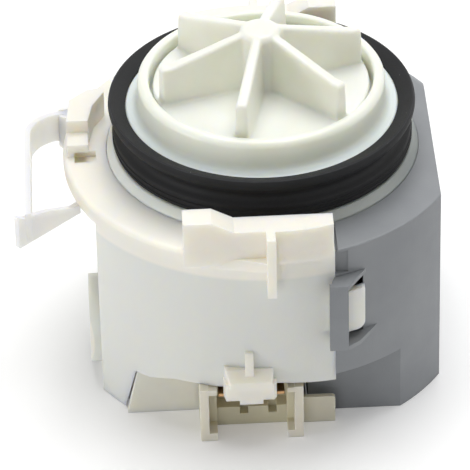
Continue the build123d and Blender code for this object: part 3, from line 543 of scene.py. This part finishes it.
# White casing half. A thin moulded shell in filled off-white resin, with the bayonet lugs, the
# nose over the connector and the latch block moulded on; it snaps into the grey half.
def rounded_copy(source, name, width, segments=3, angle=25):
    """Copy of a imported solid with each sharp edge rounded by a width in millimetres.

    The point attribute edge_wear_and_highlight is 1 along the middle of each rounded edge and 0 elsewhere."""
    piece = merged_copy(source, name)
    face_slot, edge_slot = 0, 1
    for face in piece.data.polygons:
        face.material_index = face_slot
    piece.data.materials.clear()
    for slot in (face_slot, edge_slot):
        piece.data.materials.append(None)
    bevel = piece.modifiers.new("edge_round", "BEVEL")
    bevel.width = width * MM
    bevel.segments = segments
    bevel.limit_method = "ANGLE"
    bevel.angle_limit = radians(angle)
    bevel.miter_outer = "MITER_ARC"
    bevel.material = edge_slot
    bpy.ops.object.modifier_apply(modifier="edge_round")
    # Marks the rounded edges that the finish paints paler, as wear and as painted highlight.
    wear_and_highlight_shares = [1.0] * len(piece.data.vertices)
    for face in piece.data.polygons:
        if face.material_index == face_slot:
            for vertex in face.vertices:
                wear_and_highlight_shares[vertex] = 0.0
        face.material_index = face_slot
    piece.data.attributes.new("edge_wear_and_highlight", "FLOAT", "POINT").data.foreach_set("value", wear_and_highlight_shares)
    bpy.ops.object.shade_smooth_by_angle(angle=radians(angle))
    weighted = piece.modifiers.new("face_normals", "WEIGHTED_NORMAL")
    weighted.keep_sharp = True
    bpy.ops.object.modifier_apply(modifier="face_normals")
    return piece


def dimmed(colour, share):
    """Colour at a share of its strength."""
    return tuple(share * part for part in colour[:3]) + (1.0,)


def shell_resin_with_painted_shade(name, thick, thin, wall_r, wall_top):
    """Resin with one colour for the thick lugs and top, and a darker, cooler one for the thin wall.

    The thin wall's colour is painted shade; it lies inside a radius and below a height."""
    finish = moulded_plastic(
        name, thick, dimmed(thick, 0.96), roughness=0.42, grain=0.6, depth=0.02, milk=1.0, radius=2.6
    )
    tree, shader, thick_colour, place = reopened(finish)
    radius, height = axis_place(tree, place)
    fade_r, fade_z = 0.3 * MM, 0.8 * MM
    # Darker, cooler thin wall: painted shade, not a colour of the resin.
    shaded_below_top = ranged(tree, height, wall_top - fade_z, wall_top, 1.0, 0.0)
    inside = ranged(tree, radius, wall_r, wall_r + fade_r, 1.0, 0.0)
    share = maths(tree, "MULTIPLY", shaded_below_top, inside)
    tree.links.new(mixed(tree, share, thick_colour, thin), shader.inputs["Base Color"])
    return finish


white_resin = shell_resin_with_painted_shade(
    "white_resin", srgb(245, 241, 231), srgb(227, 228, 223), wall_r=43.4 * MM, wall_top=43.0 * MM
)
white = rounded_copy("white_shell", "white_casing", width=0.3)
finished(white, white_resin, "casing", "white_plastic", "white_shell")

# Grey casing half. The same kind of shell in grey resin with a finely etched surface, with the
# two snap straps that the white half's tongues slide under.
grey_resin = moulded_plastic(
    "grey_resin", srgb(139, 142, 145), srgb(130, 133, 137), roughness=0.42, grain=0.35, depth=0.03
)
grey = rounded_copy("grey_shell", "grey_casing", width=0.2)
finished(grey, grey_resin, "casing", "grey_plastic", "grey_shell")

# Latch lever. A springy moulded band that bends round to a slanted arm with a finger tab; the pin
# at its root sits in an open socket at the rear of the latch block.
lever_resin = moulded_plastic(
    "lever_resin", srgb(253, 249, 244), srgb(250, 244, 236),
    roughness=0.4, grain=0.6, depth=0.015, milk=1.0, radius=6.0,
)
lever = rounded_copy("latch_lever", "latch_band", width=0.25)
finished(lever, lever_resin, "latch", "lever_plastic", "latch_lever")

# Connector. A moulded frame of two legs, a slab with keyways and a back wall, which guides the
# plug on to two flat brass tabs.
def painted_shade_behind(finish, from_y, to_x, colour):
    """Painted shade on the resin behind a depth, fainter to the right of an X, in the side block."""
    tree, shader, body_colour, place = reopened(finish)
    parts = node(tree, "ShaderNodeSeparateXYZ", {"Vector": place}).outputs
    fade_y, fade_x = 0.8 * MM, 0.4 * MM
    share_beyond = 0.3
    behind = ranged(tree, parts["Y"], from_y, from_y + fade_y, 0.0, 1.0)
    between = ranged(tree, parts["X"], to_x, to_x + fade_x, 1.0, share_beyond)
    share = maths(tree, "MULTIPLY", behind, between)
    tree.links.new(mixed(tree, share, body_colour, colour), shader.inputs["Base Color"])


connector_resin = moulded_plastic(
    "connector_resin", srgb(232, 228, 216), srgb(222, 217, 202),
    roughness=0.42, grain=0.5, depth=0.02, milk=0.6, radius=1.6,
)
# The olive tint in the recess behind the front of the legs is painted shade.
painted_shade_behind(connector_resin, from_y=-40.2 * MM, to_x=5.8 * MM, colour=srgb(214, 209, 184))
housing = rounded_copy("connector_housing", "plug_frame", width=0.2)
finished(housing, connector_resin, "casing", "connector_plastic", "connector_housing")

terminal_brass = worked_metal(
    "terminal_brass", srgb(196, 158, 116), srgb(166, 132, 94),
    roughness=0.45, pitch=0.3, axis="Y", depth=0.01,
)
for side in ("left", "right"):
    tab = rounded_copy(f"terminal_{side}", f"plug_tab_{side}", width=0.06, segments=2)
    finished(tab, terminal_brass, "casing", "terminal_brass", f"terminal_{side}")

# Base tray. A moulded floor that closes the white half from below and carries the core on its
# posts; its slanted front wall shows under the cut-back edge of the casing.
tray_resin = moulded_plastic(
    "tray_resin", srgb(236, 234, 224), srgb(226, 223, 210),
    roughness=0.45, grain=0.6, depth=0.02, milk=0.8, radius=2.0,
)
tray = rounded_copy("coil_cradle", "base_tray", width=0.25)
finished(tray, tray_resin, "casing", "tray_plastic", "coil_cradle")

# Studio. A white sheet under the pump, white all round, a strong soft box above and a little
# behind, and weaker ones behind, at both sides and in front. The shadow falls softly to the front.
bpy.ops.object.select_all(action="DESELECT")
floor_size = 4.0
floor_gap = 0.05 * MM
bpy.ops.mesh.primitive_plane_add(size=floor_size, location=(0, 0, -floor_gap))
floor = bpy.context.object
floor.name = "studio_floor"


def seen_directly(tree, strength):
    """Strength for the eye, for gloss and for clear pieces, and nothing for lighting."""
    rays = node(tree, "ShaderNodeLightPath", {}).outputs
    either = maths(tree, "ADD", rays["Is Camera Ray"], rays["Is Glossy Ray"])
    seen = maths(tree, "ADD", either, rays["Is Transmission Ray"], clamp=True)
    return maths(tree, "MULTIPLY", seen, strength)


def paper(name, colour, glow):
    """Pale sheet that scatters light and looks a little brighter to the camera than it is lit."""
    finish, tree, shader, place = new_finish(name)
    fibres = ranged(tree, noise(tree, place, size=30.0), 0.3, 0.7, 0.0, 1.0)
    sheet_colour = mixed(tree, fibres, colour, dimmed(colour, 0.995))
    tree.links.new(sheet_colour, shader.inputs["Base Color"])
    shader.inputs["Roughness"].default_value = 0.9
    shader.inputs["Specular IOR Level"].default_value = 0.0
    shader.inputs["Emission Color"].default_value = (1.0, 1.0, 1.0, 1.0)
    tree.links.new(seen_directly(tree, glow), shader.inputs["Emission Strength"])
    return finish


floor.data.materials.append(paper("white_sheet", srgb(246, 246, 246), glow=0.16))

surround = bpy.data.worlds.new("studio_surround")
bpy.context.scene.world = surround
surround.use_nodes = True
tree = surround.node_tree
backdrop = tree.nodes["Background"]
backdrop.inputs["Color"].default_value = (1.0, 0.995, 0.985, 1.0)
ambient = 0.2
brightness = maths(tree, "ADD", seen_directly(tree, 1.0 - ambient), ambient)
tree.links.new(brightness, backdrop.inputs["Strength"])

# Each lamp's place and width are in metres, and its power is in watts.
lamps = {
    "overhead_box": ((0.07, 0.2, 0.9), 0.68, 7.4),
    "rear_box": ((0.15, 1.0, 0.4), 0.9, 1.2),
    "left_box": ((-0.92, -0.38, 0.2), 0.45, 2.8),
    "right_box": ((0.9, -0.1, 0.3), 0.6, 1.4),
    "front_box": ((-0.32, -0.95, 0.2), 0.42, 1.15),
}
lamp_target = Vector((0, 0, 0.04))
for name, (spot, width, power) in lamps.items():
    light = bpy.data.lights.new(name, "AREA")
    light.shape = "SQUARE"
    light.size = width
    light.energy = power
    lamp = bpy.data.objects.new(name, light)
    lamp.location = spot
    lamp.rotation_mode = "QUATERNION"
    lamp.rotation_quaternion = (lamp_target - Vector(spot)).to_track_quat("-Z", "Y")
    bpy.context.scene.collection.objects.link(lamp)
